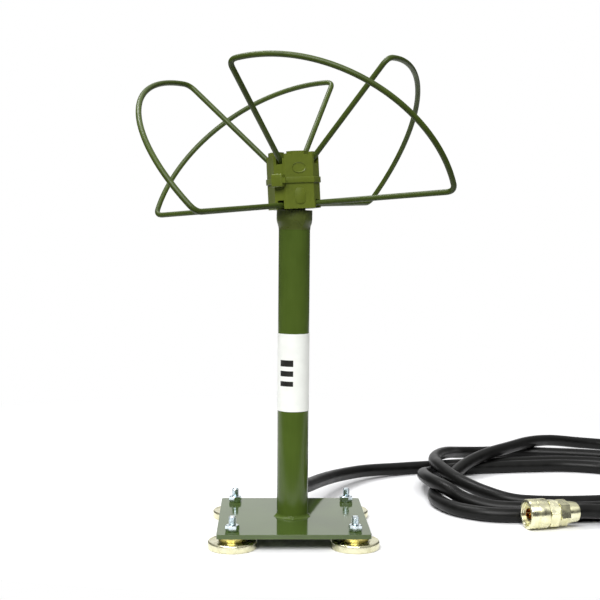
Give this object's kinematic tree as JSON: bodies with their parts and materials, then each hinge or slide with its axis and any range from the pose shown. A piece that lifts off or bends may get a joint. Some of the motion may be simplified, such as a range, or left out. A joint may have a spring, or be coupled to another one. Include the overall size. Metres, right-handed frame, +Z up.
{
  "type": "cloverleaf antenna",
  "caption": "Circularly polarised cloverleaf antenna: wire loops on a leaning hub, tube mast, magnetic plate base and a coaxial lead with a screw-on plug.",
  "frame": {"origin": "on the mast axis, at the level that the magnets stand on (bottom centre of the antenna without its lead)", "axes": "+Z up along the mast, -Y towards the front face with the label marks, +X towards the side where the lead lies"},
  "size_m": [0.4768, 0.3919, 0.3201],
  "materials": {
    "green_paint": "gloss army-green enamel, brushed on",
    "sleeve_paint": "shrink sleeve painted with the mast",
    "nickel_plate": "bright nickel plate with a warm tint",
    "magnet": "nickel-plated magnet face, ground flat",
    "yellow_zinc": "yellow passivated zinc",
    "bright_zinc": "blue-white zinc plate",
    "label_film": "satin silver-white label film",
    "rubber": "matt black rubber",
    "cable_jacket": "semi-matt black PVC jacket",
    "resin": "dark potting resin",
    "solder": "dull solder",
    "insulator": "white polyethylene",
    "copper": "bare copper",
    "contact_gold": "gold-plated contact",
    "plug_nickel": "bright nickel plate with a warm tint",
    "spring_steel": "spring steel",
    "gasket_rubber": "red-brown silicone rubber"
  },
  "bodies": {
    "antenna": {"base_plate": "green_paint", "mast_tube": "green_paint", "weld_bead": "green_paint", "label_band": "label_film", "magnet_pot_front_left": "nickel_plate", "magnet_pot_front_right": "nickel_plate", "magnet_pot_back_left": "nickel_plate", "magnet_pot_back_right": "nickel_plate", "magnet_disc_front_left": "magnet", "magnet_disc_front_right": "magnet", "magnet_disc_back_left": "magnet", "magnet_disc_back_right": "magnet", "washer_front_left": "yellow_zinc", "washer_front_right": "yellow_zinc", "washer_back_left": "yellow_zinc", "washer_back_right": "yellow_zinc", "stud_front_left": "bright_zinc", "stud_front_right": "bright_zinc", "stud_back_left": "bright_zinc", "stud_back_right": "bright_zinc", "nut_front_left": "bright_zinc", "nut_front_right": "bright_zinc", "nut_back_left": "bright_zinc", "nut_back_right": "bright_zinc", "cable_grommet": "rubber", "riser_cable": "cable_jacket", "shrink_sleeve": "sleeve_paint", "hub_body": "green_paint", "hub_seal": "resin", "cable_tie": "green_paint", "loop_front_right": "green_paint", "loop_back_right": "green_paint", "loop_back_left": "green_paint", "loop_front_left": "green_paint", "shield_ring": "solder", "riser_core": "insulator", "riser_conductor": "copper", "centre_solder": "solder", "lead_cable": "cable_jacket", "plug_body": "plug_nickel", "retaining_ring": "spring_steel", "plug_gasket": "gasket_rubber", "contact_sleeve": "plug_nickel", "plug_insulator": "insulator", "centre_pin": "contact_gold", "plug_cable_end": "cable_jacket", "clamp_nut": "plug_nickel"},
    "coupling_nut": {"coupling_nut": "plug_nickel"}
  },
  "joints": [
    {"name": "coupling_nut_spin", "type": "hinge", "parent": "antenna", "child": "coupling_nut", "pos_m": [0.16987, 0.00534, 0.0105], "axis": [0.9816, 0.1908, 0], "continuous": true}
  ]
}
